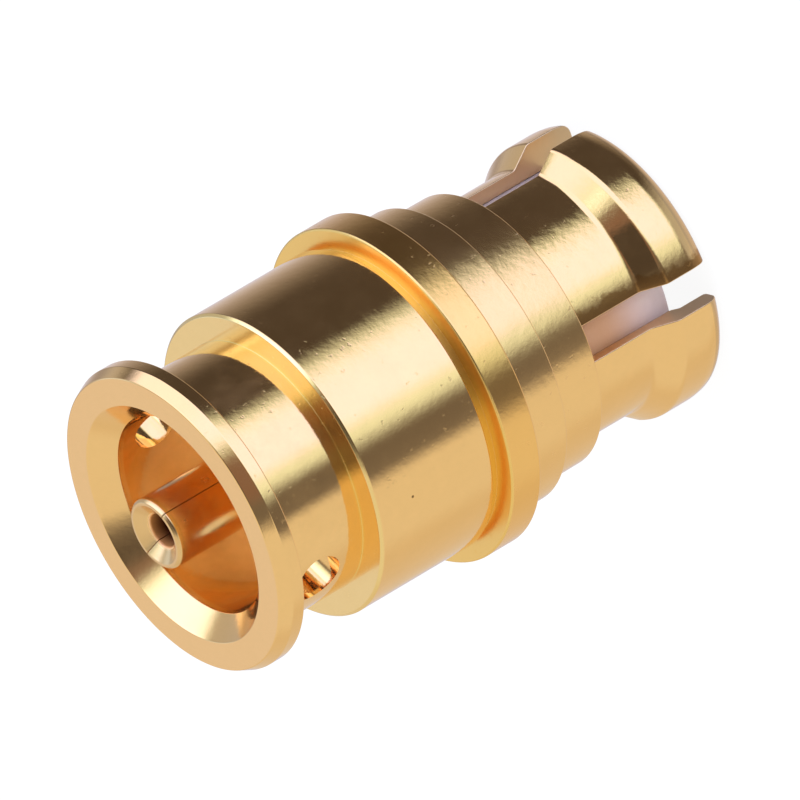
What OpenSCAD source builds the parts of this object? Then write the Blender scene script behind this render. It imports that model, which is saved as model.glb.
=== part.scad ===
// Coaxial push-on adapter with a flared mouth at one end and slotted spring fingers at the other.
// It stands on its finger tips: Z runs up the common axis, and Z = 0 is the plane of the tips.

/* [Mouth flange] */
// Diameter of the flat land's outer edge at the mouth
rim_d = 3.36; // [3.15:0.01:3.40]
// Diameter of the mouth flange
flange_d = 3.49; // [3.42:0.01:3.80]
// Length of the bevel from the land to the flange
rim_bevel = 0.14; // [0.08:0.01:0.22]
// Length of the flange's cylinder behind the bevel
flange_l = 0.155; // [0.08:0.005:0.30]
// Diameter of the mouth cone where it meets the land
mouth_d = 2.73; // [2.55:0.01:2.95]
// Diameter of the bore behind the mouth cone
bore_d = 2.27; // [2.10:0.01:2.40]

/* [Neck and cross hole] */
// Diameter of the neck
neck_d = 2.89; // [2.70:0.01:3.00]
// Length of the neck
neck_l = 1.045; // [0.80:0.005:1.60]
// Diameter of the hole drilled across the neck
cross_hole_d = 0.57; // [0.30:0.01:0.65]
// Distance from the flange's back face to the cross hole's centre
cross_hole_pos = 0.45; // [0.40:0.01:0.56]
// Azimuth of the cross hole, from the middle of a finger slot
cross_hole_turn = -35; // [-90:1:90]

/* [Barrel] */
// Diameter of the barrel
barrel_d = 3.49; // [3.36:0.01:3.70]
// Length of the barrel's cylinder
barrel_l = 1.51; // [1.30:0.01:2.50]
// Edge break at the barrel's front edge
barrel_edge = 0.06; // [0.01:0.01:0.08]

/* [Collar and rings] */
// Width of the relief groove between the barrel and the collar
groove_w = 0.10; // [0.04:0.01:0.20]
// Diameter at the bottom of the relief groove
groove_d = 3.38; // [3.00:0.01:3.44]
// Diameter of the collar
collar_d = 3.856; // [3.60:0.01:4.20]
// Length of the collar
collar_l = 0.39; // [0.25:0.005:0.80]
// Edge break at the collar's front edge
collar_edge = 0.05; // [0.01:0.01:0.08]
// Diameter of the larger ring behind the collar
ring_d = 3.416; // [3.30:0.01:3.55]
// Length of the larger ring
ring_l = 0.55; // [0.30:0.005:0.90]
// Diameter of the smaller ring where it meets the larger one
small_ring_d = 3.18; // [3.10:0.01:3.24]
// Diameter by which the smaller ring narrows over its length
small_ring_taper = 0.04; // [0:0.01:0.08]
// Length of the smaller ring
small_ring_l = 0.585; // [0.30:0.005:0.90]

/* [Spring fingers] */
// Diameter of the fingers between the small ring and the bulge
finger_d = 2.83; // [2.76:0.01:2.95]
// Length of that straight stretch of the fingers
finger_l = 0.88; // [0.70:0.01:1.40]
// Diameter over the bulge at the finger ends
bulge_d = 3.20; // [3.12:0.01:3.40]
// Length of the slope up to the bulge
bulge_flank_l = 0.245; // [0.15:0.005:0.40]
// Length of the bulge's crest
bulge_crest_l = 0.36; // [0.15:0.01:0.50]
// Length of the slope from the crest down to the tips
bulge_nose_l = 0.19; // [0.16:0.01:0.40]
// Diameter by which the nose narrows before its tip radius
bulge_nose_drop = 0.06; // [0.02:0.01:0.16]
// Radius at the outer edge of the tips
tip_r = 0.12; // [0.03:0.01:0.13]
// Number of finger slots
slot_n = 4; // [3:1:6]
// Width of a finger slot
slot_w = 0.415; // [0.25:0.005:0.50]
// Gap between the slots' ends and the small ring's back face
slot_land = 0.04; // [0.02:0.01:0.10]
// Diameter inside the finger ends, in front of the insulator
tip_bore_d = 2.67; // [2.60:0.01:2.74]

/* [Insulators] */
// Diameter of the plug inside the fingers
finger_insulator_d = 2.52; // [2.46:0.01:2.58]
// Distance from the finger tips to the plug's end face
insulator_recess = 0.42; // [0.30:0.01:0.60]
// Diameter of the plug's narrow end inside the spigot
spigot_bore_d = 2.20; // [2.00:0.01:2.30]
// Length of the plug's narrow end
spigot_bore_l = 0.75; // [0.45:0.01:1.00]
// Diameter of the bead inside the barrel
mouth_insulator_d = 2.50; // [2.42:0.01:2.60]
// Length of the bead inside the barrel
mouth_insulator_l = 0.80; // [0.50:0.01:1.00]
// Diameter of the clearance around the split socket in the plug
socket_room_d = 1.00; // [0.94:0.01:1.20]
// Depth of that clearance
socket_room_l = 1.40; // [0.90:0.01:1.60]

/* [Press fit of the shells] */
// Diameter of the finger shell's spigot inside the barrel
spigot_d = 2.84; // [2.70:0.01:3.00]
// Length of the spigot
spigot_l = 0.53; // [0.35:0.01:0.80]

/* [Centre contact] */
// Diameter of the contact
contact_d = 0.80; // [0.70:0.01:0.86]
// Distance by which the contact stands proud of the mouth
contact_proud = 0.24; // [0.05:0.01:0.40]
// Distance from the plug's end face back to the contact's end
contact_recess = 0.06; // [0.02:0.01:0.20]
// Diameter of the hole in each split socket
socket_d = 0.38; // [0.30:0.01:0.44]
// Depth of the hole in each split socket
socket_depth = 1.20; // [0.80:0.01:1.40]
// Diameter of the countersink at the mouth of each hole
lead_in_d = 0.68; // [0.45:0.01:0.70]
// Depth of that countersink
lead_in_l = 0.11; // [0.04:0.01:0.16]
// Length of the bevel at the contact's ends
nose_l = 0.05; // [0.02:0.01:0.20]
// Diameter by which the contact narrows at its ends
nose_drop = 0.06; // [0.02:0.01:0.08]
// Diameter of the flange trapped between the insulators
contact_flange_d = 1.20; // [1.00:0.01:1.40]
// Length of that flange
contact_flange_l = 0.20; // [0.10:0.01:0.30]
// Width of the slit that splits each socket
slit_w = 0.02; // [0.01:0.01:0.08]
// Length of the slit
slit_l = 1.05; // [0.60:0.01:1.30]
// Azimuth of the slit, from the middle of a finger slot
slit_turn = 44; // [-90:1:90]

/* [Hidden] */
$fn = 96;
gold = "#e0b870";
ptfe = "#f2f0f4";
cut = 1;                       // overshoot of a cutting tool past the faces that it opens
arc_steps = 8;                 // straight steps in a quarter round

// Heights, from the finger tips up
crest_z = bulge_nose_l;
flank_z = crest_z + bulge_crest_l;
straight_z = flank_z + bulge_flank_l;
small_ring_z = straight_z + finger_l;
ring_z = small_ring_z + small_ring_l;
collar_z = ring_z + ring_l;
groove_z = collar_z + collar_l;
seam_z = groove_z + groove_w;
barrel_top_z = seam_z + barrel_l;
flange_z = barrel_top_z + neck_l;
bevel_z = flange_z + flange_l;
mouth_z = bevel_z + rim_bevel;
cone_z = mouth_z - (mouth_d - bore_d) / 2;
cross_hole_z = flange_z - cross_hole_pos;

// Heights of what lies inside
plug_end_z = insulator_recess;
spigot_top_z = seam_z + spigot_l;
plug_top_z = spigot_top_z - contact_flange_l;
plug_step_z = plug_top_z - spigot_bore_l;
bead_top_z = spigot_top_z + mouth_insulator_l;
contact_top_z = mouth_z + contact_proud;
contact_end_z = plug_end_z + contact_recess;
slot_end_z = small_ring_z - slot_land;

// Points of a quarter round about (r, z), from the angle a0 through 90 degrees
function quarter(r, z, radius, a0) =
    [for (i = [0:arc_steps]) let (a = a0 + 90 * i / arc_steps) [r + radius * cos(a), z + radius * sin(a)]];

// A hole on the axis between two heights
module axis_hole(d, z0, z1) {
    translate([0, 0, z0]) cylinder(d = d, h = z1 - z0);
}

// The turned outside of the mouth shell, before it is bored
module mouth_shell_blank() {
    rotate_extrude() polygon([
        [0, seam_z],
        [barrel_d / 2, seam_z],
        [barrel_d / 2, barrel_top_z - barrel_edge],
        [barrel_d / 2 - barrel_edge, barrel_top_z],
        [neck_d / 2, barrel_top_z],
        [neck_d / 2, flange_z],
        [flange_d / 2, flange_z],
        [flange_d / 2, bevel_z],
        [rim_d / 2, mouth_z],
        [0, mouth_z],
    ]);
}

module mouth_shell() {
    color(gold) difference() {
        mouth_shell_blank();
        axis_hole(spigot_d, seam_z - cut, spigot_top_z);
        axis_hole(mouth_insulator_d, seam_z - cut, bead_top_z);
        axis_hole(bore_d, seam_z - cut, mouth_z + cut);
        translate([0, 0, cone_z])
            cylinder(d1 = bore_d, d2 = mouth_d + 2 * cut, h = mouth_z + cut - cone_z);
        translate([0, 0, cross_hole_z]) rotate([0, 0, cross_hole_turn]) rotate([0, 90, 0])
            cylinder(d = cross_hole_d, h = neck_d + 2 * cut, center = true);
    }
}

// The turned outside of the finger shell, before it is bored and slotted
module finger_shell_blank() {
    nose_d = bulge_d - bulge_nose_drop;
    rotate_extrude() polygon(concat(
        [[0, 0]],
        quarter(nose_d / 2 - tip_r, tip_r, tip_r, -90),
        [
            [bulge_d / 2, crest_z],
            [bulge_d / 2, flank_z],
            [finger_d / 2, straight_z],
            [finger_d / 2, small_ring_z],
            [(small_ring_d - small_ring_taper) / 2, small_ring_z],
            [small_ring_d / 2, ring_z],
            [ring_d / 2, ring_z],
            [ring_d / 2, collar_z],
            [collar_d / 2, collar_z],
            [collar_d / 2, groove_z - collar_edge],
            [collar_d / 2 - collar_edge, groove_z],
            [groove_d / 2, groove_z],
            [groove_d / 2, seam_z],
            [spigot_d / 2, seam_z],
            [spigot_d / 2, spigot_top_z],
            [0, spigot_top_z],
        ]
    ));
}

module finger_shell() {
    lead_z = insulator_recess - (tip_bore_d - finger_insulator_d) / 2;
    color(gold) difference() {
        finger_shell_blank();
        axis_hole(finger_insulator_d, -cut, plug_step_z);
        axis_hole(spigot_bore_d, -cut, spigot_top_z + cut);
        axis_hole(tip_bore_d, -cut, lead_z);
        translate([0, 0, lead_z])
            cylinder(d1 = tip_bore_d, d2 = finger_insulator_d, h = insulator_recess - lead_z);
        for (i = [0:slot_n - 1]) rotate([0, 0, 360 / slot_n * i])
            translate([0, -slot_w / 2, -cut]) cube([bulge_d, slot_w, slot_end_z + cut]);
    }
}

module mouth_insulator() {
    color(ptfe) difference() {
        axis_hole(mouth_insulator_d, spigot_top_z, bead_top_z);
        axis_hole(contact_d, spigot_top_z - cut, bead_top_z + cut);
    }
}

module finger_insulator() {
    color(ptfe) difference() {
        union() {
            axis_hole(finger_insulator_d, plug_end_z, plug_step_z);
            axis_hole(spigot_bore_d, plug_end_z, plug_top_z);
        }
        axis_hole(contact_d, plug_end_z - cut, plug_top_z + cut);
        axis_hole(socket_room_d, plug_end_z - cut, plug_end_z + socket_room_l);
    }
}

// The turned outside of the contact, bevelled at both ends
module contact_blank() {
    rotate_extrude() polygon([
        [0, contact_end_z],
        [(contact_d - nose_drop) / 2, contact_end_z],
        [contact_d / 2, contact_end_z + nose_l],
        [contact_d / 2, plug_top_z],
        [contact_flange_d / 2, plug_top_z],
        [contact_flange_d / 2, spigot_top_z],
        [contact_d / 2, spigot_top_z],
        [contact_d / 2, contact_top_z - nose_l],
        [(contact_d - nose_drop) / 2, contact_top_z],
        [0, contact_top_z],
    ]);
}

// A countersunk hole and a slit across it, cut downwards from the origin
module socket_cut() {
    axis_hole(socket_d, -socket_depth, cut);
    translate([0, 0, -lead_in_l])
        cylinder(d1 = socket_d, d2 = lead_in_d, h = lead_in_l);
    rotate([0, 0, slit_turn]) translate([-contact_d, -slit_w / 2, -slit_l])
        cube([2 * contact_d, slit_w, slit_l + cut]);
}

module center_contact() {
    color(gold) difference() {
        contact_blank();
        translate([0, 0, contact_top_z]) socket_cut();
        translate([0, 0, contact_end_z]) mirror([0, 0, 1]) socket_cut();
    }
}

mouth_shell();
finger_shell();
mouth_insulator();
finger_insulator();
center_contact();
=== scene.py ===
"""Dresses a small coaxial push-on adapter: two turned gold shells, two PTFE insulators and a split contact.

Sizes inside the classes are in millimetres and heights run up the common axis from the finger tips.
Each piece is modelled in millimetres and brought to metres when it is finished. In the names of sizes
_r stands for a radius, _l for a length along the axis and _w for a width.
"""

from __future__ import annotations

import logging
import math
from dataclasses import dataclass
from enum import Enum

import bmesh
import bpy
from mathutils import Matrix, Vector


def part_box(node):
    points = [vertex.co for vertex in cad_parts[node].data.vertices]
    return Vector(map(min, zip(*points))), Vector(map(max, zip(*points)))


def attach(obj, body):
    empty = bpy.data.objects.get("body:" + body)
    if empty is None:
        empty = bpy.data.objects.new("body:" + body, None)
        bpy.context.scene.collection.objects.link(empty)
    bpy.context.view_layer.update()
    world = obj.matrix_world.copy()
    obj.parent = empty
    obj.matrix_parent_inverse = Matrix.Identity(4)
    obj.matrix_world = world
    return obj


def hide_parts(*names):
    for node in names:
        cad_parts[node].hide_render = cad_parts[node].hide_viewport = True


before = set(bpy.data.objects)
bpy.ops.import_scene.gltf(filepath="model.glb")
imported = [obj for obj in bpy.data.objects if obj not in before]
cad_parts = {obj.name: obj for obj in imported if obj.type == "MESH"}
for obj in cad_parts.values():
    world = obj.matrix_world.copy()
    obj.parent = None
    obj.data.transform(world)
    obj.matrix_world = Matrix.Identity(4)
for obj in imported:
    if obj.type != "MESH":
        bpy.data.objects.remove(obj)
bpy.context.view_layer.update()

LOG = logging.getLogger("adapter")
MM = 0.001
SEGMENTS = 288
DRILL_SEGMENTS = 128
# The share of an edge that the fillets at its two ends may take up, and the half angle of a straight corner.
FILLET_ROOM = 0.98
STRAIGHT = math.radians(89.5)
# Sockets of Blender's Mix node, whose names repeat: its numbers, then its colours and their result.
NUMBER_A = 2
NUMBER_B = 3
COLOUR_A = 6
COLOUR_B = 7
COLOUR_OUT = 2

Point = tuple[float, float]
Colour = tuple[float, float, float, float]
Link = bpy.types.NodeSocket
Ramp = tuple[Link, float, float]


class Slot(Enum):
    """Names the record's material slots."""

    POLISHED = "polished_gold"
    TURNED = "turned_gold"
    CONTACT = "contact_gold"
    PTFE = "ptfe"


def linear(colour: str) -> Colour:
    """Turns an sRGB hex colour into linear light.

    Args:
        colour: The colour as "#rrggbb".

    Returns:
        Linear red, green, blue and an alpha of one.
    """
    channels = [int(colour[i : i + 2], 16) / 255 for i in (1, 3, 5)]
    light = [c / 12.92 if c <= 0.04045 else ((c + 0.055) / 1.055) ** 2.4 for c in channels]
    return (light[0], light[1], light[2], 1.0)


def add_node(
    tree: bpy.types.NodeTree, kind: str, inputs: dict[str | int, object] | None = None, **settings: object
) -> bpy.types.Node:
    """Adds a node, sets its properties and fills its sockets.

    Args:
        tree: The node tree that takes the node.
        kind: The node's type name without the ShaderNode prefix.
        inputs: Socket name or number to a value, or to another node's output socket.
        settings: Properties of the node itself.

    Returns:
        The new node.
    """
    node = tree.nodes.new("ShaderNode" + kind)
    for name, value in settings.items():
        setattr(node, name, value)
    for key, value in (inputs or {}).items():
        socket = node.inputs[key]
        if isinstance(value, bpy.types.NodeSocket):
            tree.links.new(value, socket)
        else:
            socket.default_value = value
    return node


def soft_mask(tree: bpy.types.NodeTree, ramps: list[Ramp], interpolation: str = "LINEAR") -> Link:
    """Multiplies soft steps into one mask.

    Args:
        tree: The nodes of a material or of the world.
        ramps: For each step, what it reads and the values at which it is nought and one.
        interpolation: How each step runs between the two.

    Returns:
        The product: one where every step is full.
    """
    mask: Link | float = 1.0
    for value, start, end in ramps:
        ends = {"Value": value, "From Min": start, "From Max": end}
        step = add_node(tree, "MapRange", ends, interpolation_type=interpolation)
        mask = add_node(tree, "Math", {0: mask, 1: step.outputs[0]}, operation="MULTIPLY").outputs[0]
    return mask


def ray_share(tree: bpy.types.NodeTree, kind: str) -> Link:
    """Gives one for a ray of a kind that the Light Path node names, and nought for the others."""
    return add_node(tree, "LightPath").outputs[kind]


def place_in_mm(tree: bpy.types.NodeTree) -> Link:
    """Gives the place on the part in millimetres."""
    place = add_node(tree, "TexCoord").outputs["Object"]
    return add_node(tree, "VectorMath", {0: place, "Scale": 1 / MM}, operation="SCALE").outputs[0]


def blank_material(name: str) -> bpy.types.Material:
    """Makes a material that has no nodes yet.

    Args:
        name: The material's name.

    Returns:
        The material.
    """
    made = bpy.data.materials.new(name)
    made.use_nodes = True
    made.node_tree.nodes.clear()
    return made


@dataclass(frozen=True)
class Corner:
    """One corner of a turned outline.

    Attributes:
        r: Distance from the axis.
        z: Height up the axis.
        fillet: Radius that rounds the corner.
    """

    r: float
    z: float
    fillet: float = 0.01


def rounded(corners: list[Corner], steps: int = 5) -> list[Point]:
    """Rounds the corners of a closed outline.

    Args:
        corners: The outline's corners in order.
        steps: Straight steps in each fillet.

    Returns:
        The outline's points, each fillet as an arc that meets its straights smoothly.
    """
    places = [Vector((corner.r, corner.z)) for corner in corners]
    count = len(places)
    edges = [places[(i + 1) % count] - place for i, place in enumerate(places)]
    halves = [(-edges[i - 1]).angle(edges[i]) / 2 for i in range(count)]
    wanted = [corner.fillet / math.tan(half) for corner, half in zip(corners, halves)]
    shares = []
    for i, edge in enumerate(edges):
        both = max(1e-9, wanted[i] + wanted[(i + 1) % count])
        shares.append(min(1.0, FILLET_ROOM * edge.length / both))
    points: list[Point] = []
    for i, here in enumerate(places):
        if corners[i].fillet == 0 or halves[i] > STRAIGHT:
            points.append((here.x, here.y))
            continue
        half = halves[i]
        before, after = -edges[i - 1], edges[i]
        reach = wanted[i] * min(shares[i - 1], shares[i])
        radius = reach * math.tan(half)
        centre = here + (before.normalized() + after.normalized()).normalized() * (radius / math.sin(half))
        start = here + before.normalized() * reach - centre
        end = here + after.normalized() * reach - centre
        sweep = start.angle_signed(end)
        for k in range(steps + 1):
            arm = Matrix.Rotation(-sweep * k / steps, 2) @ start
            points.append((centre.x + arm.x, centre.y + arm.y))
    return points


def outward(points: list[Point]) -> list[Vector]:
    """Works out the outward normals of a closed outline.

    Args:
        points: The outline's points in order.

    Returns:
        One unit normal for each point, between those of its two edges.
    """
    count = len(points)
    area = 0.0
    for (r0, z0), (r1, z1) in zip(points, points[1:] + points[:1]):
        area += r0 * z1 - r1 * z0
    side = 1.0 if area > 0 else -1.0
    normals = []
    for i in range(count):
        edges = []
        for a, b in ((i - 1, i), (i, (i + 1) % count)):
            run = Vector((points[b][0] - points[a][0], points[b][1] - points[a][1])).normalized()
            edges.append(Vector((run.y, -run.x)) * side)
        normals.append((edges[0] + edges[1]).normalized())
    return normals


def bridge(mesh: bmesh.types.BMesh, a: list[bmesh.types.BMVert], b: list[bmesh.types.BMVert]) -> None:
    """Joins two rings of equally many vertices with four-sided faces.

    Args:
        mesh: The mesh that takes the faces.
        a: The vertices of the first ring, in order.
        b: The vertices of the second ring, in the same order.
    """
    count = len(a)
    for i in range(count):
        j = (i + 1) % count
        mesh.faces.new((a[i], a[j], b[j], b[i]))


def turned(mesh: bmesh.types.BMesh, outline: list[Point], segments: int = SEGMENTS) -> None:
    """Revolves a closed outline about the axis.

    Args:
        mesh: The mesh that takes the faces.
        outline: The outline's points, all off the axis.
        segments: Steps round the axis.
    """
    loops = []
    for s in range(segments):
        turn = 2 * math.pi * s / segments
        loops.append([mesh.verts.new((r * math.cos(turn), r * math.sin(turn), z)) for r, z in outline])
    for s in range(segments):
        bridge(mesh, loops[s], loops[(s + 1) % segments])


@dataclass(frozen=True)
class Slotting:
    """Parallel-sided slots that split a turned wall into sectors.

    Attributes:
        count: Number of slots.
        width: Width of a slot.
        turn: Azimuth of the first slot, in degrees.
        edge: Radius that rounds the sectors' edges along the slots.
    """

    count: int
    width: float
    turn: float
    edge: float = 0.012


def sectors(mesh: bmesh.types.BMesh, outline: list[Point], slots: Slotting, columns: int = 72) -> None:
    """Revolves a closed outline between slots, with flat slot walls and rounded edges along them.

    Args:
        mesh: The mesh that takes the faces.
        outline: The outline's points, all off the axis.
        slots: The slots between the sectors.
        columns: Steps round each sector between its rounded edges.
    """
    normals = outward(outline)
    quarter = [math.radians(a) for a in range(0, 91, 18)]
    rims = [(slots.edge * (1 - math.cos(a)), slots.edge * (1 - math.sin(a))) for a in quarter]
    pitch = 2 * math.pi / slots.count
    for i in range(slots.count):
        first = math.radians(slots.turn) + pitch * i
        steps = [(0.0, depth, inset) for depth, inset in rims]
        steps += [(k / columns, slots.edge, 0.0) for k in range(1, columns)]
        steps += [(1.0, depth, inset) for depth, inset in reversed(rims)]
        loops = []
        for share, depth, inset in steps:
            loop = []
            for (r, z), normal in zip(outline, normals):
                radius = r - inset * normal.x
                lean = math.asin(min(1.0, (slots.width / 2 + depth) / radius))
                angle = first + lean + share * (pitch - 2 * lean)
                height = z - inset * normal.y
                loop.append(mesh.verts.new((radius * math.cos(angle), radius * math.sin(angle), height)))
            loops.append(loop)
        for a, b in zip(loops, loops[1:]):
            bridge(mesh, a, b)
        mesh.faces.new(loops[0])
        mesh.faces.new(loops[-1])


def cut_across(target: bpy.types.Object, radius: float, height: float, turn: float, reach: float) -> None:
    """Drills a hole across the axis of a turned piece, through both walls.

    Args:
        target: The piece to drill.
        radius: The hole's radius.
        height: The height of the hole's centre.
        turn: The hole's azimuth in degrees.
        reach: Half the drill's length.
    """
    drill_mesh = bmesh.new()
    place = Matrix.Translation((0, 0, height)) @ Matrix.Rotation(math.radians(turn), 4, "Z")
    place = place @ Matrix.Rotation(math.pi / 2, 4, "Y")
    bmesh.ops.create_cone(
        drill_mesh,
        cap_ends=True,
        segments=DRILL_SEGMENTS,
        radius1=radius,
        radius2=radius,
        depth=2 * reach,
        matrix=place,
    )
    data = bpy.data.meshes.new("drill")
    drill_mesh.to_mesh(data)
    drill_mesh.free()
    drill = bpy.data.objects.new("drill", data)
    bpy.context.scene.collection.objects.link(drill)
    cut = target.modifiers.new("cut", "BOOLEAN")
    cut.object = drill
    cut.operation = "DIFFERENCE"
    cut.solver = "EXACT"
    bake(target)
    bpy.data.objects.remove(drill)
    bpy.data.meshes.remove(data)


def bake(target: bpy.types.Object) -> None:
    """Replaces an object's mesh by the result of its modifiers.

    Args:
        target: The object, which keeps none of its modifiers.
    """
    bpy.context.view_layer.update()
    graph = bpy.context.evaluated_depsgraph_get()
    done = bpy.data.meshes.new_from_object(target.evaluated_get(graph))
    target.modifiers.clear()
    old = target.data
    target.data = done
    bpy.data.meshes.remove(old)


def smooth(target: bpy.types.Object, crease: float = 32.0) -> None:
    """Shades an object smooth, with sharp creases and with flats that stay flat beside small fillets.

    Args:
        target: The object, still in millimetres.
        crease: The angle in degrees from which an edge stays sharp.
    """
    data = target.data
    for face in data.polygons:
        face.use_smooth = True
    data.set_sharp_from_angle(angle=math.radians(crease))
    weigh = target.modifiers.new("weigh", "WEIGHTED_NORMAL")
    weigh.keep_sharp = True
    weigh.weight = 100
    bake(target)


def piece(name: str, mesh: bmesh.types.BMesh) -> bpy.types.Object:
    """Makes a scene object from a mesh that is still in millimetres.

    Args:
        name: The object's name.
        mesh: Its mesh, which is freed here.

    Returns:
        The linked object.
    """
    bmesh.ops.recalc_face_normals(mesh, faces=mesh.faces)
    data = bpy.data.meshes.new(name)
    mesh.to_mesh(data)
    mesh.free()
    made = bpy.data.objects.new(name, data)
    bpy.context.scene.collection.objects.link(made)
    return made


def finish_piece(made: bpy.types.Object, node: str, material: bpy.types.Material) -> None:
    """Smooths a piece, brings it to metres, dresses it and lets it stand for its CAD node.

    Args:
        made: The piece, in millimetres.
        node: The CAD node that it stands for.
        material: Its finish.
    """
    smooth(made)
    made.data.transform(Matrix.Scale(MM, 4))
    made.data.materials.clear()
    made.data.materials.append(material)
    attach(made, "root")
    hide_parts(node)
    LOG.info("%s: %d faces", made.name, len(made.data.polygons))


@dataclass(frozen=True)
class Pit:
    """A dark pit in the plating.

    Attributes:
        r: Its distance from the axis.
        z: Its height.
        azimuth: Its azimuth in degrees.
        size: Its radius.
        core: Share of that radius inside which it is darkest.
    """

    r: float
    z: float
    azimuth: float
    size: float = 0.022
    core: float = 0.4

    def point(self) -> tuple[float, float, float]:
        """Gives the pit's place in millimetres."""
        turn = math.radians(self.azimuth)
        return (self.r * math.cos(turn), self.r * math.sin(turn), self.z)


@dataclass
class Coat:
    """The look of a plated surface while its finish is laid on, one stretch over the other.

    Attributes:
        tree: The material's nodes.
        colour: Colour of the reflection.
        roughness: Roughness of the plate.
        haze: Share of the light that the plate scatters widely.
    """

    tree: bpy.types.NodeTree
    colour: Link | Colour
    roughness: Link | float
    haze: Link | float

    def lay(
        self,
        mask: Link | float,
        colour: Link | Colour,
        roughness: float | None = None,
        haze: float | None = None,
    ) -> None:
        """Lays another look over the coat.

        Args:
            mask: Where the new look shows.
            colour: Its colour.
            roughness: Its roughness, or None to keep what is beneath.
            haze: Its haze, or None to keep what is beneath.
        """
        colours = {"Factor": mask, COLOUR_A: self.colour, COLOUR_B: colour}
        self.colour = add_node(self.tree, "Mix", colours, data_type="RGBA").outputs[COLOUR_OUT]
        if roughness is not None:
            numbers = {"Factor": mask, NUMBER_A: self.roughness, NUMBER_B: roughness}
            self.roughness = add_node(self.tree, "Mix", numbers, data_type="FLOAT").outputs[0]
        if haze is not None:
            numbers = {"Factor": mask, NUMBER_A: self.haze, NUMBER_B: haze}
            self.haze = add_node(self.tree, "Mix", numbers, data_type="FLOAT").outputs[0]


@dataclass(frozen=True)
class Zone:
    """A stretch of a turned piece with its own roughness, haze and reflection colour.
    The bore's paler colour is painted light; the yellower shoulder and the browner end of the contact are
    painted reflections.

    Attributes:
        low: Height at which the zone begins.
        high: Height at which it ends.
        roughness: Roughness inside it.
        tint: Colour of the reflection inside it.
        within: Distance from the axis inside which it lies.
        haze: Share of the light that it scatters widely.
        blend: Length over which its lower and upper ends fade.
        edge: Length over which its outer side fades.
    """

    low: float
    high: float
    roughness: float
    tint: str = "#FFD28B"
    within: float = 9.0
    haze: float = 0.03
    blend: float = 0.02
    edge: float = 0.01

    def lay_on(self, coat: Coat, height: Link, radius: Link) -> None:
        """Lays the zone over a coat.

        Args:
            coat: The coat beneath.
            height: The height of the place on the part.
            radius: Its distance from the axis.
        """
        ramps = [
            (height, self.low, self.low + self.blend),
            (height, self.high, self.high - self.blend),
            (radius, self.within, self.within - self.edge),
        ]
        coat.lay(soft_mask(coat.tree, ramps), linear(self.tint), self.roughness, self.haze)


@dataclass(frozen=True)
class SawnSlots:
    """The slots between the fingers: dull walls, and a dark band of painted shade on the finger beside the
    one at +X.

    Attributes:
        half_w: Half the width of a slot.
        top: Height at which the slots end.
        roughness: Roughness of the sawn walls.
        tint: Colour of the reflection on them.
        rim: Distances beside a slot at which its walls' look begins and at which it is full.
        top_fade: Distance above the slots over which both looks fade.
        painted_shade_w: Width of the painted shade.
        painted_shade_fray: Distance over which its edge wanders.
        painted_shade_fade: Distance over which its edge fades.
        painted_shade_side: Distances along +Y between which it begins, at the slot's wall.
        painted_shade_out: Distances along +X between which it begins, so that one slot alone has it.
        painted_shade_roughness: Roughness inside the painted shade.
        painted_shade_tint: Dark colour of the painted shade.
    """

    half_w: float
    top: float
    roughness: float = 0.38
    tint: str = "#F4D2A0"
    rim: tuple[float, float] = (0.012, 0.004)
    top_fade: float = 0.02
    painted_shade_w: float = 0.17
    painted_shade_fray: float = 0.35
    painted_shade_fade: float = 0.07
    painted_shade_side: tuple[float, float] = (0.15, 0.20)
    painted_shade_out: tuple[float, float] = (0.8, 0.9)
    painted_shade_roughness: float = 0.24
    painted_shade_tint: str = "#B88A50"

    def lay_on(self, coat: Coat, mm: Link, waves: Link) -> None:
        """Lays the painted shade and the sawn walls over a coat.

        Args:
            coat: The coat beneath.
            mm: The place on the part in millimetres.
            waves: A noise that frays the painted shade's edge.
        """
        tree = coat.tree
        axes = add_node(tree, "SeparateXYZ", {0: mm}).outputs
        flat = [add_node(tree, "Math", {0: axes[name]}, operation="ABSOLUTE").outputs[0] for name in "XY"]
        beside = add_node(tree, "Math", {0: flat[0], 1: flat[1]}, operation="MINIMUM").outputs[0]
        shift = {0: waves, 1: self.painted_shade_fray, 2: axes["Y"]}
        frayed = add_node(tree, "Math", shift, operation="MULTIPLY_ADD").outputs[0]
        reach = self.half_w + self.painted_shade_w + self.painted_shade_fray / 2
        below = (axes["Z"], self.top + self.top_fade, self.top)
        # Painted shade: a dark band on the finger beside the slot at +X, where its edge lies in shade.
        painted_shade = [
            below,
            (frayed, reach, reach - self.painted_shade_fade),
            (axes["Y"], *self.painted_shade_side),
            (axes["X"], *self.painted_shade_out),
        ]
        wall = [below, (beside, self.half_w + self.rim[0], self.half_w + self.rim[1])]
        coat.lay(soft_mask(tree, painted_shade), linear(self.painted_shade_tint), self.painted_shade_roughness)
        coat.lay(soft_mask(tree, wall), linear(self.tint), self.roughness)


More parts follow.
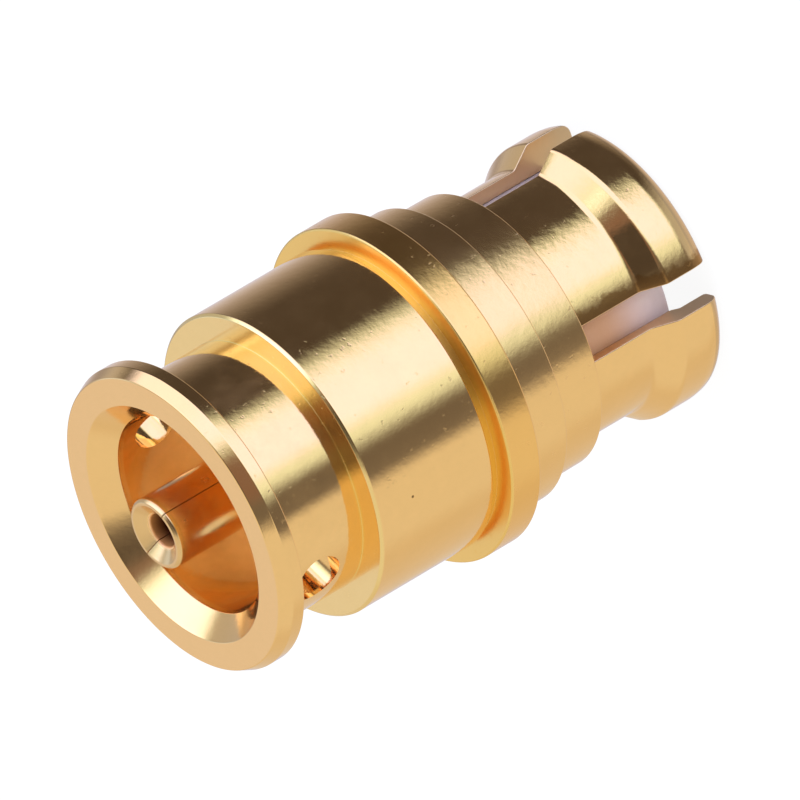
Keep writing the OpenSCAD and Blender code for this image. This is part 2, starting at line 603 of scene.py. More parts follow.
@dataclass(frozen=True)
class SocketHole:
    """The narrow hole of the upper split socket.

    Light bounces in it more often than a render follows, so its wall is no mirror but carries painted light
    at the top and painted shade further down.

    Attributes:
        r: Radius of the hole.
        top: Height at which it begins, below its countersink.
        tint: Painted light on its wall at the top.
        deep_painted_shade: Painted shade on its wall further down.
        deep: Distance from the top at which that colour is full.
        rim: Distances outside the hole's radius at which its look begins and at which it is full.
    """

    r: float
    top: float
    tint: str = "#A87440"
    deep_painted_shade: str = "#4A1E0E"
    deep: float = 0.16
    rim: tuple[float, float] = (0.03, 0.005)

    def lay_on(self, coat: Coat, height: Link, radius: Link) -> Link:
        """Lays the hole's painted light and painted shade over a coat.

        Args:
            coat: The coat beneath.
            height: The height of the place on the part.
            radius: Its distance from the axis.

        Returns:
            How metallic the surface is: nought on the hole's wall.
        """
        tree = coat.tree
        inside = soft_mask(tree, [(radius, self.r + self.rim[0], self.r + self.rim[1])])
        # Painted light at the top of the wall and painted shade further down, in place of the gold's
        # reflection.
        depth = soft_mask(tree, [(height, self.top, self.top - self.deep)])
        shades = {"Factor": depth, COLOUR_A: linear(self.tint), COLOUR_B: linear(self.deep_painted_shade)}
        wall = add_node(tree, "Mix", shades, data_type="RGBA").outputs[COLOUR_OUT]
        coat.lay(inside, wall)
        return add_node(tree, "Math", {0: 1.0, 1: inside}, operation="SUBTRACT").outputs[0]


@dataclass(frozen=True)
class GoldFinish:
    """Thin gold plate over turned metal.

    Attributes:
        name: The material's name.
        tint: Colour of the reflection, face on.
        roughness: Roughness of the plate.
        ripple: Height of the broad waves left by turning and polishing.
        grain: Height of the fine grain.
        nicks: Share of the cells that hold a small handling nick.
        pits: The single dark pits that show in the photograph.
        haze: Share of the light that the plate scatters widely, on average.
        wave_size: Width of a wave.
        grain_size: Width of the grain; the real one is finer, but would not show.
        nick_cell: Width of a nick's cell.
        nick_reach: Distances from a cell's point, in cells, at which a nick ends and at which it is deepest.
        nick_squash: Scale along the axis in the cells, which draws the nicks out to about 0.03 by 0.05 mm.
        nick_depth: Depth of a nick.
        nick_roughness: Roughness that a nick adds.
        nicks_beyond: Distance from the axis beyond which the nicks lie.
        warp_size: Width of the noise that bends the nicks out of round.
        warp: Distance by which it bends them.
        blotch_size: Width of the blotches in the haze.
        haze_roughness: Roughness of the haze.
        pit_tint: Colour of the reflection in a pit.
    """

    name: str
    tint: str = "#FFD28B"
    roughness: float = 0.08
    ripple: float = 0.0009
    grain: float = 0.00034
    nicks: float = 0.24
    pits: tuple[Pit, ...] = ()
    haze: float = 0.03
    wave_size: float = 0.14286
    grain_size: float = 0.05556
    nick_cell: float = 0.07692
    nick_reach: tuple[float, float] = (0.30, 0.05)
    nick_squash: float = 0.7
    nick_depth: float = 0.0004
    nick_roughness: float = 0.16
    nicks_beyond: float = 1.38
    warp_size: float = 0.04545
    warp: float = 0.09
    blotch_size: float = 0.3125
    haze_roughness: float = 0.55
    pit_tint: str = "#8A6A3E"

    def nick_mask(self, tree: bpy.types.NodeTree, mm: Link, radius: Link) -> Link:
        """Picks the nicks: a few of the cells, each a little longer along the axis.

        Args:
            tree: The material's nodes.
            mm: The place on the part in millimetres.
            radius: Its distance from the axis.

        Returns:
            One in the middle of a nick, nought beside it.
        """
        noise = {"Vector": mm, "Scale": 1 / self.warp_size, "Detail": 1.0}
        bend = add_node(tree, "TexNoise", noise).outputs["Color"]
        bent = {0: bend, 1: (self.warp, self.warp, self.warp), 2: mm}
        place = add_node(tree, "VectorMath", bent, operation="MULTIPLY_ADD").outputs[0]
        squash = {0: place, 1: (1, 1, self.nick_squash)}
        long = add_node(tree, "VectorMath", squash, operation="MULTIPLY").outputs[0]
        cells = add_node(tree, "TexVoronoi", {"Vector": long, "Scale": 1 / self.nick_cell}, feature="F1")
        pick = add_node(tree, "SeparateColor", {"Color": cells.outputs["Color"]}).outputs["Red"]
        chosen = add_node(tree, "Math", {0: pick, 1: self.nicks}, operation="LESS_THAN").outputs[0]
        outer = add_node(tree, "Math", {0: radius, 1: self.nicks_beyond}, operation="GREATER_THAN").outputs[0]
        chosen = add_node(tree, "Math", {0: chosen, 1: outer}, operation="MULTIPLY").outputs[0]
        near = soft_mask(tree, [(cells.outputs["Distance"], *self.nick_reach)], "SMOOTHSTEP")
        return add_node(tree, "Math", {0: chosen, 1: near}, operation="MULTIPLY").outputs[0]

    def pit_mask(self, tree: bpy.types.NodeTree, mm: Link) -> Link | float:
        """Finds the single dark pits.

        Args:
            tree: The material's nodes.
            mm: The place on the part in millimetres.

        Returns:
            One in the middle of a pit, nought beside it.
        """
        mask: Link | float = 0.0
        for pit in self.pits:
            away = add_node(tree, "VectorMath", {0: mm, 1: pit.point()}, operation="DISTANCE")
            ramp = (away.outputs["Value"], pit.size, pit.core * pit.size)
            spot = soft_mask(tree, [ramp], "SMOOTHSTEP")
            mask = add_node(tree, "Math", {0: mask, 1: spot}, operation="MAXIMUM").outputs[0]
        return mask

    def relief(self, tree: bpy.types.NodeTree, waves: Link, grain: Link, nick: Link) -> Link:
        """Turns the waves, the grain and the nicks into one normal.

        Args:
            tree: The material's nodes.
            waves: The broad waves.
            grain: The fine grain.
            nick: The mask of the nicks, which are dents.

        Returns:
            The normal.
        """
        inputs = {}
        for height, depth in ((waves, self.ripple), (grain, self.grain), (nick, -self.nick_depth)):
            inputs.update({"Height": height, "Distance": abs(depth) * MM, "Strength": 1.0})
            inputs["Normal"] = add_node(tree, "Bump", inputs, invert=depth < 0).outputs[0]
        return inputs["Normal"]

    def hazy(self, coat: Coat, clear: Link, mm: Link, normal: Link) -> Link:
        """Lays a blotchy haze over the clear plate, which lifts the dark reflections.

        Args:
            coat: The plate's look.
            clear: The shader of the clear plate.
            mm: The place on the part in millimetres.
            normal: The plate's normal.

        Returns:
            The shader of both.
        """
        tree = coat.tree
        noise = {"Vector": mm, "Scale": 1 / self.blotch_size, "Detail": 3.0, "Roughness": 0.65}
        blotch = add_node(tree, "TexNoise", noise).outputs[0]
        spread = {"Value": blotch, "From Min": 0.36, "From Max": 0.64, "To Min": 0.2, "To Max": 1.8}
        patchy = add_node(tree, "MapRange", spread).outputs[0]
        haze = add_node(tree, "Math", {0: coat.haze, 1: patchy}, operation="MULTIPLY").outputs[0]
        look = {"Color": coat.colour, "Roughness": self.haze_roughness, "Normal": normal}
        wide = add_node(tree, "BsdfAnisotropic", look).outputs[0]
        return add_node(tree, "MixShader", {0: haze, 1: clear, 2: wide}).outputs[0]

    def build(
        self, zones: tuple[Zone, ...], slots: SawnSlots | None = None, hole: SocketHole | None = None
    ) -> bpy.types.Material:
        """Builds the material: tinted metal with its relief, its zones and its haze.

        Args:
            zones: The stretches with a finish of their own.
            slots: The sawn slots, if the piece has them.
            hole: The narrow hole, if the piece has one.

        Returns:
            The material.
        """
        made = blank_material(self.name)
        tree = made.node_tree
        mm = place_in_mm(tree)
        level = add_node(tree, "VectorMath", {0: mm, 1: (1, 1, 0)}, operation="MULTIPLY").outputs[0]
        radius = add_node(tree, "VectorMath", {0: level}, operation="LENGTH").outputs["Value"]
        height = add_node(tree, "SeparateXYZ", {0: mm}).outputs["Z"]
        broad = {"Vector": mm, "Scale": 1 / self.wave_size, "Detail": 3.0, "Roughness": 0.6}
        waves = add_node(tree, "TexNoise", broad).outputs[0]
        fine = {"Vector": mm, "Scale": 1 / self.grain_size, "Detail": 2.5, "Roughness": 0.6}
        grain = add_node(tree, "TexNoise", fine).outputs[0]
        nick = self.nick_mask(tree, mm, radius)
        normal = self.relief(tree, waves, grain, nick)
        # The plate is up to a quarter duller on the crests of the waves, and a fifth smoother between them.
        spread = {"Value": waves, "From Min": 0.3, "From Max": 0.7}
        spread.update({"To Min": self.roughness * 0.8, "To Max": self.roughness * 1.25})
        uneven = add_node(tree, "MapRange", spread).outputs[0]
        coat = Coat(tree, linear(self.tint), uneven, self.haze)
        coat.lay(self.pit_mask(tree, mm), linear(self.pit_tint))
        for zone in zones:
            zone.lay_on(coat, height, radius)
        if slots is not None:
            slots.lay_on(coat, mm, waves)
        duller = {0: nick, 1: self.nick_roughness, 2: coat.roughness}
        dull = add_node(tree, "Math", duller, operation="MULTIPLY_ADD").outputs[0]
        metallic = 1.0 if hole is None else hole.lay_on(coat, height, radius)
        look = {"Base Color": coat.colour, "Metallic": metallic, "Roughness": dull, "Normal": normal}
        clear = add_node(tree, "BsdfPrincipled", look).outputs[0]
        add_node(tree, "OutputMaterial", {"Surface": self.hazy(coat, clear, mm, normal)})
        return made


@dataclass(frozen=True)
class PtfeFinish:
    """White PTFE, waxy and slightly see-through at its edges.

    Attributes:
        name: The material's name.
        tint: Its colour in the open.
        grain_tint: Its colour on the grain's ridges.
        warm: Its colour where the gold around it throws warm light on it.
        warm_from: Height at which that light begins.
        warm_to: Height at which it is full.
        warm_side: Distance along +X at which it is full.
        warm_fade: Distance along X over which it fades.
        shade: Its colour in the shade of the fingers.
        shade_from: Distance along +Y at which that shade begins.
        shade_fade: Distance over which it grows.
        grain_size: Width of the machined grain.
        grain_depth: Height of that grain.
    """

    name: str
    tint: str = "#C2B5B4"
    grain_tint: str = "#B8ABAA"
    warm: str = "#A9805C"
    warm_from: float = 0.40
    warm_to: float = 1.30
    warm_side: float = 0.8
    warm_fade: float = 0.3
    shade: str = "#85766C"
    shade_from: float = 9.0
    shade_fade: float = 0.4
    grain_size: float = 0.07143
    grain_depth: float = 0.002

    def build(self) -> bpy.types.Material:
        """Builds the material: a soft white with a faint machined grain.

        Returns:
            The material.
        """
        made = blank_material(self.name)
        tree = made.node_tree
        mm = place_in_mm(tree)
        noise = {"Vector": mm, "Scale": 1 / self.grain_size, "Detail": 3.0}
        grain = add_node(tree, "TexNoise", noise).outputs[0]
        normal = add_node(tree, "Bump", {"Height": grain, "Distance": self.grain_depth * MM}).outputs[0]
        axes = add_node(tree, "SeparateXYZ", {0: mm}).outputs
        # The gold around it throws warm light on it, most where it is walled in.
        above = (axes["Z"], self.warm_from, self.warm_to)
        beside = (axes["X"], self.warm_side - self.warm_fade, self.warm_side)
        walled = soft_mask(tree, [above, beside], "SMOOTHSTEP")
        # On the side turned from the soft box it lies in the fingers' shade.
        shaded = soft_mask(tree, [(axes["Y"], self.shade_from, self.shade_from + self.shade_fade)])
        colour: Link | Colour = linear(self.tint)
        for mask, tint in ((grain, self.grain_tint), (walled, self.warm), (shaded, self.shade)):
            colours = {"Factor": mask, COLOUR_A: colour, COLOUR_B: linear(tint)}
            colour = add_node(tree, "Mix", colours, data_type="RGBA").outputs[COLOUR_OUT]
        shader = add_node(
            tree,
            "BsdfPrincipled",
            {
                "Base Color": colour,
                "Roughness": 0.45,
                "IOR": 1.35,
                "Subsurface Weight": 0.25,
                "Subsurface Radius": (0.9, 0.8, 0.8),
                "Subsurface Scale": 0.15 * MM,
                "Normal": normal,
            },
        )
        add_node(tree, "OutputMaterial", {"Surface": shader.outputs[0]})
        return made


@dataclass(frozen=True)
class Seats:
    """Heights and radii at which the pieces meet, in millimetres.

    All heights but that of the plug's step come from the frame.
    """

    tips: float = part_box("finger_shell")[0][2] / MM
    seam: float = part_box("mouth_shell")[0][2] / MM
    spigot_top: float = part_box("finger_shell")[1][2] / MM
    mouth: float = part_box("mouth_shell")[1][2] / MM
    bead_top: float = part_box("mouth_insulator")[1][2] / MM
    plug_end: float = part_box("finger_insulator")[0][2] / MM
    plug_top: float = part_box("finger_insulator")[1][2] / MM
    contact_top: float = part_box("center_contact")[1][2] / MM
    contact_end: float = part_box("center_contact")[0][2] / MM
    plug_step: float = 2.88
    spigot_r: float = 1.42
    bead_r: float = 1.25
    plug_r: float = 1.26
    plug_neck_r: float = 1.10
    contact_r: float = 0.40


@dataclass
class MouthShell:
    """The polished shell: flared mouth, cross-drilled neck, shoulder and barrel."""

    at: Seats
    finish: GoldFinish
    rim_r: float = 1.68
    flange_r: float = 1.745
    rim_bevel: float = 0.14
    flange_l: float = 0.155
    mouth_r: float = 1.365
    bore_r: float = 1.135
    neck_r: float = 1.445
    hole_r: float = 0.285
    hole_pos: float = 0.45
    hole_turn: float = -35.0
    barrel_r: float = 1.745
    barrel_l: float = 1.51
    barrel_edge: float = 0.03

    def __post_init__(self) -> None:
        """Works out the heights between the seam and the mouth."""
        self.shoulder = self.at.seam + self.barrel_l
        self.bevel = self.at.mouth - self.rim_bevel
        self.flange = self.bevel - self.flange_l
        self.cone = self.at.mouth - (self.mouth_r - self.bore_r)

    def outline(self) -> list[Point]:
        """Gives the shell's closed section.

        Returns:
            The section's points, from the seam up the outside and back down the bore.
        """
        at = self.at
        return rounded(
            [
                Corner(self.barrel_r, at.seam, 0.015),
                Corner(self.barrel_r, self.shoulder - self.barrel_edge, 0.015),
                Corner(self.barrel_r - self.barrel_edge, self.shoulder, 0.015),
                Corner(self.neck_r, self.shoulder, 0.004),
                Corner(self.neck_r, self.flange, 0.02),
                Corner(self.flange_r, self.flange, 0.015),
                Corner(self.flange_r, self.bevel, 0.03),
                Corner(self.rim_r, at.mouth, 0.02),
                Corner(self.mouth_r, at.mouth, 0.012),
                Corner(self.bore_r, self.cone, 0.02),
                Corner(self.bore_r, at.bead_top, 0.0),
                Corner(at.bead_r, at.bead_top, 0.0),
                Corner(at.bead_r, at.spigot_top, 0.0),
                Corner(at.spigot_r, at.spigot_top, 0.0),
                Corner(at.spigot_r, at.seam, 0.01),
            ]
        )

    def zones(self) -> tuple[Zone, ...]:
        """Gives the stretches with a finish of their own.

        Returns:
            The bore, the mouth cone, the shoulder's face and the neck.
        """
        return (
            # The bore's paler gold is painted light, standing in for the light that bounces in from the
            # mouth.
            Zone(self.at.spigot_top, self.cone + 0.04, 0.22, "#FFE4AE", self.bore_r + 0.065, haze=0.0),
            Zone(self.cone - 0.02, self.at.mouth - 0.01, 0.14, within=self.mouth_r + 0.015),
            # The shoulder's face is tinted yellower as a painted reflection of the lit neck.
            Zone(self.shoulder - 0.04, self.shoulder + 0.03, 0.12, "#FFDE92"),
            Zone(self.shoulder + 0.04, self.flange + 0.005, 0.08, haze=0.07),
        )

    def build(self) -> None:
        """Turns the shell, drills its cross hole and dresses it."""
        mesh = bmesh.new()
        turned(mesh, self.outline())
        made = piece("turned_mouth_shell", mesh)
        cut_across(made, self.hole_r, self.flange - self.hole_pos, self.hole_turn, 2 * self.neck_r)
        finish_piece(made, "mouth_shell", self.finish.build(self.zones()))


@dataclass
class FingerShell:
    """The shell with the collar, the two rings and the four spring fingers."""

    at: Seats
    finish: GoldFinish
    groove_w: float = 0.10
    groove_r: float = 1.69
    collar_r: float = 1.928
    collar_l: float = 0.39
    ring_r: float = 1.708
    ring_l: float = 0.55
    small_ring_r: float = 1.59
    small_ring_drop: float = 0.005
    small_ring_l: float = 0.585
    finger_r: float = 1.415
    finger_l: float = 0.88
    bulge_r: float = 1.60
    flank_l: float = 0.245
    nose_l: float = 0.19
    nose_drop: float = 0.03
    tip_round: float = 0.12
    tip_bore_r: float = 1.335
    slot_land: float = 0.04
    joint_overlap: float = 0.01
    slots: Slotting = Slotting(4, 0.415, 0.0, 0.012)

    def __post_init__(self) -> None:
        """Works out the heights of the rings from the seam down."""
        self.groove = self.at.seam - self.groove_w
        self.collar = self.groove - self.collar_l
        self.ring = self.collar - self.ring_l
        self.small_ring = self.ring - self.small_ring_l
        self.slot_end = self.small_ring - self.slot_land

    def body(self) -> list[Point]:
        """Gives the closed section of the unslotted part.

        Returns:
            The section's points, from the slots' end up the outside and back down the inside.
        """
        at = self.at
        return rounded(
            [
                Corner(self.finger_r, self.slot_end, 0.0),
                Corner(self.finger_r, self.small_ring, 0.01),
                Corner(self.small_ring_r - self.small_ring_drop, self.small_ring, 0.015),
                Corner(self.small_ring_r, self.ring, 0.01),
                Corner(self.ring_r, self.ring, 0.015),
                Corner(self.ring_r, self.collar, 0.01),
                Corner(self.collar_r, self.collar, 0.02),
                Corner(self.collar_r, self.groove, 0.025),
                Corner(self.groove_r, self.groove, 0.004),
                Corner(self.groove_r, at.seam, 0.0),
                Corner(at.spigot_r, at.seam, 0.0),
                Corner(at.spigot_r, at.spigot_top, 0.01),
                Corner(at.plug_neck_r, at.spigot_top, 0.01),
                Corner(at.plug_neck_r, at.plug_step, 0.0),
                Corner(at.plug_r, at.plug_step, 0.0),
                Corner(at.plug_r, self.slot_end, 0.0),
            ]
        )

    def finger(self) -> list[Point]:
        """Gives the closed section of one spring finger.

        Returns:
            The section's points, from the slot's end down the outside and back up the inside.
        """
        at = self.at
        root = self.slot_end + self.joint_overlap
        straight = self.small_ring - self.finger_l
        flank = straight - self.flank_l
        lead = at.plug_end - (self.tip_bore_r - at.plug_r)
        return rounded(
            [
                Corner(self.finger_r, root, 0.0),
                Corner(self.finger_r, straight, 0.11),
                Corner(self.bulge_r, flank, 0.10),
                Corner(self.bulge_r, at.tips + self.nose_l, 0.6),
                Corner(self.bulge_r - self.nose_drop, at.tips, self.tip_round),
                Corner(self.tip_bore_r, at.tips, 0.045),
                Corner(self.tip_bore_r, lead, 0.02),
                Corner(at.plug_r, at.plug_end, 0.05),
                Corner(at.plug_r, root, 0.0),
            ]
        )

    def zones(self) -> tuple[Zone, ...]:
        """Gives the stretches with a finish of their own.

        Returns:
            The rings, the collar, the groove with the collar's face, and the tips.
        """
        return (
            Zone(self.slot_end + 0.005, self.collar + 0.01, 0.15),
            Zone(self.collar - 0.01, self.groove - 0.01, 0.16, "#FFCB78"),
            Zone(self.groove - 0.03, self.at.seam + 0.01, 0.30, "#FFD67A"),
            Zone(self.at.tips - 0.10, self.at.tips + 0.13, 0.14, "#E7C086"),
        )

    def build(self) -> None:
        """Turns the shell, adds its fingers and dresses it."""
        mesh = bmesh.new()
        turned(mesh, self.body())
        sectors(mesh, self.finger(), self.slots)
        made = piece("turned_finger_shell", mesh)
        sawn = SawnSlots(self.slots.width / 2, self.slot_end)
        finish_piece(made, "finger_shell", self.finish.build(self.zones(), slots=sawn))


@dataclass
class Insulators:
    """The PTFE bead in the barrel and the PTFE plug in the fingers."""

    at: Seats
    bead_finish: PtfeFinish
    plug_finish: PtfeFinish
    room_r: float = 0.50
    room_l: float = 1.40

    def bead(self) -> list[Point]:
        """Gives the closed section of the bead.

        Returns:
            The section's points, up the outside and back down the hole for the contact.
        """
        at = self.at
        return rounded(
            [
                Corner(at.bead_r, at.spigot_top),
                Corner(at.bead_r, at.bead_top),
                Corner(at.contact_r, at.bead_top),
                Corner(at.contact_r, at.spigot_top),
            ]
        )

    def plug(self) -> list[Point]:
        """Gives the closed section of the plug.

        Returns:
            The section's points, up the outside and back down the hole for the contact.
        """
        at = self.at
        room_top = at.plug_end + self.room_l
        return rounded(
            [
                Corner(at.plug_r, at.plug_end, 0.025),
                Corner(at.plug_r, at.plug_step),
                Corner(at.plug_neck_r, at.plug_step),
                Corner(at.plug_neck_r, at.plug_top),
                Corner(at.contact_r, at.plug_top),
                Corner(at.contact_r, room_top, 0.0),
                Corner(self.room_r, room_top, 0.0),
                Corner(self.room_r, at.plug_end, 0.015),
            ]
        )

    def build(self) -> None:
        """Turns both insulators and dresses them."""
        for name, node, outline, finish in (
            ("ptfe_bead", "mouth_insulator", self.bead(), self.bead_finish),
            ("ptfe_plug", "finger_insulator", self.plug(), self.plug_finish),
        ):
            mesh = bmesh.new()
            turned(mesh, outline)
            finish_piece(piece(name, mesh), node, finish.build())


@dataclass
class CenterContact:
    """The double-ended contact: a split socket at each end and a flange between the insulators."""

    at: Seats
    finish: GoldFinish
    nose_drop: float = 0.03
    hole_r: float = 0.19
    hole_depth: float = 1.20
    lead_in_r: float = 0.34
    lead_in_l: float = 0.11
    flange_r: float = 0.60
    slit_l: float = 1.05
    joint_overlap: float = 0.01
    core_segments: int = 144
    slit: Slotting = Slotting(2, 0.008, 44.0, 0.004)

    def socket(self, top: float, way: int) -> list[Point]:
        """Gives the closed section of one split socket.

        Args:
            top: Height of the socket's open end.
            way: 1 if the socket opens upwards, -1 if it opens downwards.

        Returns:
            The section's points.
        """
        root = top - way * (self.slit_l + self.joint_overlap)
        body_r = self.at.contact_r
        return rounded(
            [
                Corner(body_r, root, 0.0),
                Corner(body_r, top - way * self.nose_drop, 0.03),
                Corner(body_r - self.nose_drop, top, 0.015),
                Corner(self.lead_in_r, top, 0.010),
                Corner(self.hole_r, top - way * self.lead_in_l, 0.03),
                Corner(self.hole_r, root, 0.0),
            ]
        )

    def core(self) -> list[Point]:
        """Gives the section of the solid middle, from one hole's bottom to the other's.

        Returns:
            The section's points, which stay just off the axis.
        """
        at = self.at
        thin = 0.001
        low, high = at.contact_end + self.slit_l, at.contact_top - self.slit_l
        low_hole, high_hole = at.contact_end + self.hole_depth, at.contact_top - self.hole_depth
        return rounded(
            [
                Corner(thin, low_hole, 0.0),
                Corner(self.hole_r, low_hole, 0.0),
                Corner(self.hole_r, low, 0.0),
                Corner(at.contact_r, low, 0.0),
                Corner(at.contact_r, at.plug_top, 0.0),
                Corner(self.flange_r, at.plug_top),
                Corner(self.flange_r, at.spigot_top),
                Corner(at.contact_r, at.spigot_top, 0.0),
                Corner(at.contact_r, high, 0.0),
                Corner(self.hole_r, high, 0.0),
                Corner(self.hole_r, high_hole, 0.0),
                Corner(thin, high_hole, 0.0),
            ]
        )

    def build(self) -> None:
        """Turns the contact with its two split sockets and dresses it."""
        mesh = bmesh.new()
        top = self.at.contact_top
        turned(mesh, self.core(), self.core_segments)
        sectors(mesh, self.socket(top, 1), self.slit)
        sectors(mesh, self.socket(self.at.contact_end, -1), self.slit)
        made = piece("split_contact", mesh)
        # The open end of the upper socket is a little browner than its body: a painted reflection of the warm
        # gold of the bore around it.
        end = Zone(top - 0.10, top + 0.10, 0.22, "#F1C989", haze=0.0)
        hole = SocketHole(self.hole_r, top - self.lead_in_l)
        finish_piece(made, "center_contact", self.finish.build((end,), hole=hole))


@dataclass(frozen=True)
class Bound:
    """One soft edge of a patch of light.

    Attributes:
        along: A direction in the photograph's own terms: up, right and towards the viewer.
        start: The share of the ray along it at which the patch begins.
        end: The share at which the patch is full.
    """

    along: tuple[float, float, float]
    start: float
    end: float


@dataclass(frozen=True)
class Patch:
    """One patch of the studio's light.

    Attributes:
        name: What it stands for in a studio.
        colour: Its linear red, green and blue.
        bounds: The soft edges that it lies between.
    """

    name: str
    colour: tuple[float, float, float]
    bounds: tuple[Bound, ...]


UP = (1.0, 0.0, 0.0)
RIGHT = (0.0, 1.0, 0.0)
TOWARD = (0.0, 0.0, 1.0)
SIDEWAYS = (0.0, -0.35, 1.0)
SLANTED = (0.8, 0.0, 1.0)
DIM = (0.075, 0.066, 0.072)
LOW = Bound(UP, -0.10, -0.26)
BEHIND = Bound(TOWARD, -0.20, -0.50)

# The room that the gold mirrors, with the camera in front. Later patches lie over earlier ones.
ROOM = (
    Patch("ceiling", DIM, (Bound(UP, 0.30, 0.50),)),
    Patch("table", (0.79, 0.77, 0.745), (LOW, Bound((0.0, -0.15, 1.0), 0.87, 0.73))),
    Patch("far table", (0.727, 0.67, 0.59), (LOW, BEHIND)),
    Patch("far left of the table", (0.78, 0.765, 0.86), (LOW, Bound(RIGHT, -0.40, -0.65), BEHIND)),
    Patch(
        "left wall",
        (0.50, 0.52, 0.62),
        (
            Bound(RIGHT, -0.35, -0.55),
            Bound(TOWARD, -0.02, -0.12),
            Bound(UP, 0.72, 0.50),
            Bound(UP, -0.35, 0.05),
        ),
    ),
    Patch(
        "window low on the left",
        (0.8, 1.0, 1.5),
        (
            Bound(RIGHT, -0.76, -0.86),
            Bound(TOWARD, -0.15, -0.30),
            Bound(UP, 0.30, 0.16),
            Bound(UP, -0.24, -0.12),
        ),
    ),
    Patch(
        "right wall",
        (0.48, 0.53, 0.66),
        (Bound(RIGHT, 0.35, 0.75), Bound((-0.5, 0.0, 1.0), 0.35, 0.22), Bound(UP, 0.05, 0.20)),
    ),
    Patch(
        "backdrop",
        (0.754, 0.736, 0.843),
        (Bound((0.0, -0.8, 1.0), -0.25, -1.10), Bound(UP, -0.28, -0.08)),
    ),
    Patch(
        "soft box",
        (0.95, 1.2, 1.4),
        (Bound((1.0, 0.12, 0.0), 0.16, 0.40), Bound(SIDEWAYS, 0.12, 0.26)),
    ),
    Patch(
        "soft box's middle",
        (1.30, 1.39, 2.42),
        (Bound((1.0, 0.08, 0.0), 0.34, 0.54), Bound(SIDEWAYS, 0.19, 0.31)),
    ),
    Patch(
        "soft box's upper left",
        (1.30, 1.39, 2.2),
        (Bound(RIGHT, -0.30, -0.50), Bound(UP, 0.56, 0.64), Bound((0.0, -0.68, 1.0), -0.05, 0.25)),
    ),
    Patch(
        "soft box's left end",
        (1.25, 1.55, 1.9),
        (
            Bound(RIGHT, -0.48, -0.66),
            Bound(UP, -0.16, 0.08),
            Bound(UP, 0.48, 0.38),
            Bound(SLANTED, -0.02, 0.26),
        ),
    ),
    Patch(
        "middle of its left end",
        (1.75, 1.83, 3.15),
        (
            Bound(RIGHT, -0.55, -0.75),
            Bound(UP, 0.04, 0.22),
            Bound(UP, 0.46, 0.36),
            Bound(SLANTED, 0.05, 0.35),
        ),
    ),
    Patch(
        "camera",
        (0.24, 0.165, 0.165),
        (Bound((-0.15, -0.22, 0.964), 0.795, 0.925), Bound(UP, -0.25, -0.05)),
    ),
    Patch("lens", DIM, (Bound((-0.15, -0.25, 0.956), 0.93, 0.97),)),
)


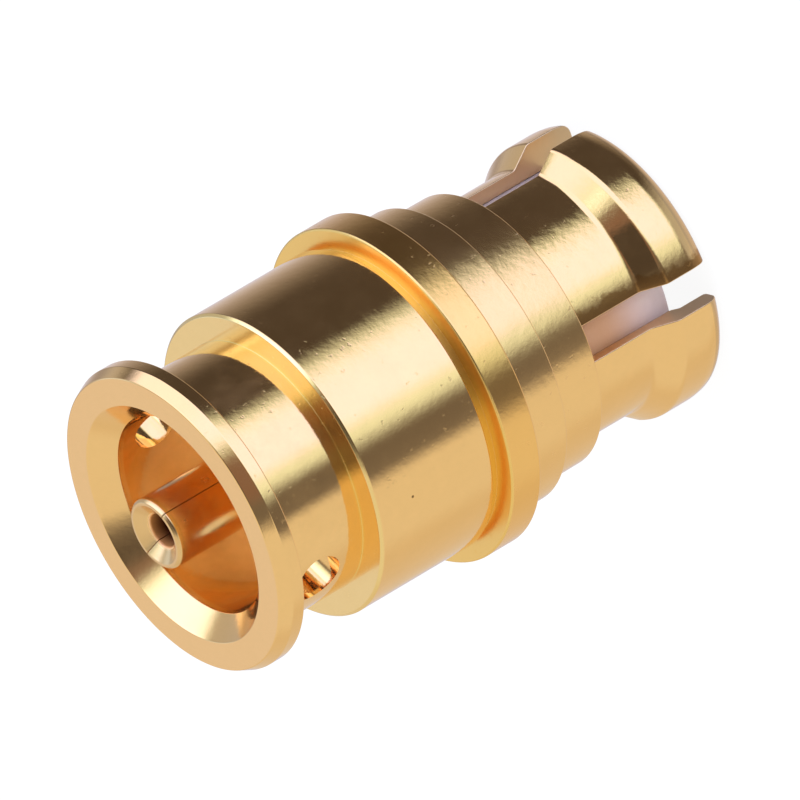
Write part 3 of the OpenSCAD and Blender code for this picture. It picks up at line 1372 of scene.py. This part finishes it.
@dataclass
class Studio:
    """The floor, the light dome and the camera.

    The photograph shows the adapter lying with its axis at an angle to the picture, so the dome is
    described in the photograph's own directions: up, right and towards the viewer.

    Attributes:
        azimuth: Azimuth of the camera, in degrees.
        axis_to_view: Angle between the adapter's axis and the view, in degrees.
        axis_slope: Slope of the axis in the picture, in degrees.
        view_width: Width of the picture at the adapter.
        aim_height: Height of the point in the picture's middle.
        aim_side: Distance of that point from the axis.
        lens: Focal length of the camera.
        sensor: Width of its sensor.
        floor_size: Width of the floor.
        paper: Colour of the floor's paper.
        paper_glow: Share of plain white that the camera sees in it.
        corner: Light of the room's darkest corner.
        room: The patches of light.
        fill: How much more light matt surfaces take than the gold mirrors.
    """

    azimuth: float = 24.1
    axis_to_view: float = 61.57
    axis_slope: float = 30.5
    view_width: float = 8.258
    aim_height: float = 3.12
    aim_side: float = -0.083
    lens: float = 1200.0
    sensor: float = 36.0
    floor_size: float = 300.0
    paper: str = "#F4F4F4"
    paper_glow: float = 0.93
    corner: tuple[float, float, float] = (0.17, 0.16, 0.175)
    room: tuple[Patch, ...] = ROOM
    fill: float = 2.5

    def __post_init__(self) -> None:
        """Works out the directions of the view from its three angles."""
        turn = math.radians(self.azimuth)
        tilt = math.radians(self.axis_to_view)
        slope = math.radians(self.axis_slope)
        near = Vector((math.cos(turn), math.sin(turn), 0))
        self.side = Vector((-math.sin(turn), math.cos(turn), 0))
        axis = Vector((0, 0, 1))
        self.toward = near * math.sin(tilt) + axis * math.cos(tilt)
        along = near * math.cos(tilt) - axis * math.sin(tilt)
        self.right = along * math.cos(slope) - self.side * math.sin(slope)
        self.up = along * math.sin(slope) + self.side * math.cos(slope)

    def camera(self) -> None:
        """Places a long-lens camera at the photograph's viewing angle."""
        lens = bpy.data.cameras.new("camera")
        lens.lens = self.lens
        lens.sensor_width = self.sensor
        lens.clip_start = 0.01
        lens.clip_end = 10.0
        body = bpy.data.objects.new("camera", lens)
        bpy.context.scene.collection.objects.link(body)
        aim = (Vector((0, 0, self.aim_height)) + self.side * self.aim_side) * MM
        distance = self.view_width * MM * self.lens / self.sensor
        pose = Matrix((self.right, self.up, self.toward)).transposed().to_4x4()
        pose.translation = aim + self.toward * distance
        body.matrix_world = pose
        bpy.context.scene.camera = body

    def patch_mask(self, tree: bpy.types.NodeTree, ray: Link, patch: Patch) -> Link:
        """Gives one inside a patch of light and nought outside it.

        Args:
            tree: The world's nodes.
            ray: The direction that is looked along.
            patch: The patch.

        Returns:
            The mask.
        """
        ramps = []
        for bound in patch.bounds:
            up, right, toward = bound.along
            axis = self.up * up + self.right * right + self.toward * toward
            share = add_node(tree, "VectorMath", {0: ray, 1: tuple(axis)}, operation="DOT_PRODUCT")
            ramps.append((share.outputs["Value"], bound.start, bound.end))
        return soft_mask(tree, ramps, "SMOOTHSTEP")

    def dome(self) -> None:
        """Builds the studio's light from its patches, seen only in the gold and on the PTFE."""
        world = bpy.data.worlds.new("studio")
        world.use_nodes = True
        bpy.context.scene.world = world
        tree = world.node_tree
        tree.nodes.clear()
        ray = add_node(tree, "TexCoord").outputs["Generated"]
        light: Link | Colour = (*self.corner, 1.0)
        for patch in self.room:
            inside = self.patch_mask(tree, ray, patch)
            colours = {"Factor": inside, COLOUR_A: light, COLOUR_B: (*patch.colour, 1.0)}
            laid = add_node(tree, "Mix", colours, data_type="RGBA", label=patch.name)
            light = laid.outputs[COLOUR_OUT]
        colours = {"Factor": ray_share(tree, "Is Camera Ray"), COLOUR_A: light, COLOUR_B: (1, 1, 1, 1)}
        shown = add_node(tree, "Mix", colours, data_type="RGBA").outputs[COLOUR_OUT]
        # Matt PTFE takes more light than the gold mirrors, as the lamps are brighter than paper white.
        more = {0: ray_share(tree, "Is Diffuse Ray"), 1: self.fill, 2: 1.0}
        strength = add_node(tree, "Math", more, operation="MULTIPLY_ADD").outputs[0]
        background = add_node(tree, "Background", {"Color": shown, "Strength": strength})
        add_node(tree, "OutputWorld", {"Surface": background.outputs[0]})

    def floor(self) -> None:
        """Lays a pale floor that the camera sees as white, with the adapter's soft shadow on it."""
        half = self.floor_size / 2 * MM
        data = bpy.data.meshes.new("floor")
        corners = [(-half, -half, 0), (half, -half, 0), (half, half, 0), (-half, half, 0)]
        data.from_pydata(corners, [], [(0, 1, 2, 3)])
        plane = bpy.data.objects.new("floor", data)
        bpy.context.scene.collection.objects.link(plane)
        made = blank_material("pale_paper")
        tree = made.node_tree
        seen = {0: ray_share(tree, "Is Camera Ray"), 1: self.paper_glow}
        share = add_node(tree, "Math", seen, operation="MULTIPLY").outputs[0]
        paper = add_node(tree, "BsdfDiffuse", {"Color": linear(self.paper)})
        glow = add_node(tree, "Emission", {"Color": linear("#FFFFFF"), "Strength": 1.0})
        mixed = add_node(tree, "MixShader", {0: share, 1: paper.outputs[0], 2: glow.outputs[0]})
        add_node(tree, "OutputMaterial", {"Surface": mixed.outputs[0]})
        data.materials.append(made)
        plane.visible_glossy = False

    def build(self) -> None:
        """Sets up the whole studio."""
        self.camera()
        self.dome()
        self.floor()
        bpy.context.scene.view_settings.view_transform = "Standard"


def main() -> None:
    """Builds the adapter's pieces and the studio."""
    logging.basicConfig(level=logging.INFO, format="%(name)s %(message)s")
    at = Seats()
    # Gold plate on polished brass: a near-mirror with sharp bands of warm light and only faint waves.
    polished = GoldFinish(
        "gold_plate_on_polished_brass",
        pits=(Pit(1.445, 5.304, 18.6), Pit(1.745, 4.336, -11.0)),
    )
    # Gold plate on turned brass: the same gold, a little softer, with tool marks and painted shade beside one
    # slot.
    plated = GoldFinish(
        "gold_plate_on_turned_brass",
        roughness=0.09,
        ripple=0.0016,
        grain=0.00048,
        pits=(Pit(1.9, 3.22, -8.4), Pit(1.708, 2.36, 19.5)),
    )
    # Gold plate on beryllium copper: the contact's finer and duller plate, with painted orange light and
    # painted shade inside its hole.
    spring = GoldFinish(
        "gold_plate_on_beryllium_copper", tint="#FFD592", roughness=0.22, nicks=0.0, haze=0.02
    )
    # Turned PTFE: waxy white that takes the gold's warmth where it is walled in.
    bead = PtfeFinish("turned_ptfe_in_bore", warm="#E8C090", warm_side=-9.0)
    plug = PtfeFinish("turned_ptfe_in_fingers", shade_from=0.6)
    parts = [
        MouthShell(at, polished),
        FingerShell(at, plated),
        Insulators(at, bead, plug),
        CenterContact(at, spring),
        Studio(),
    ]
    for part in parts:
        part.build()
        LOG.info("built %s", type(part).__name__)


if __name__ == "__main__":
    main()
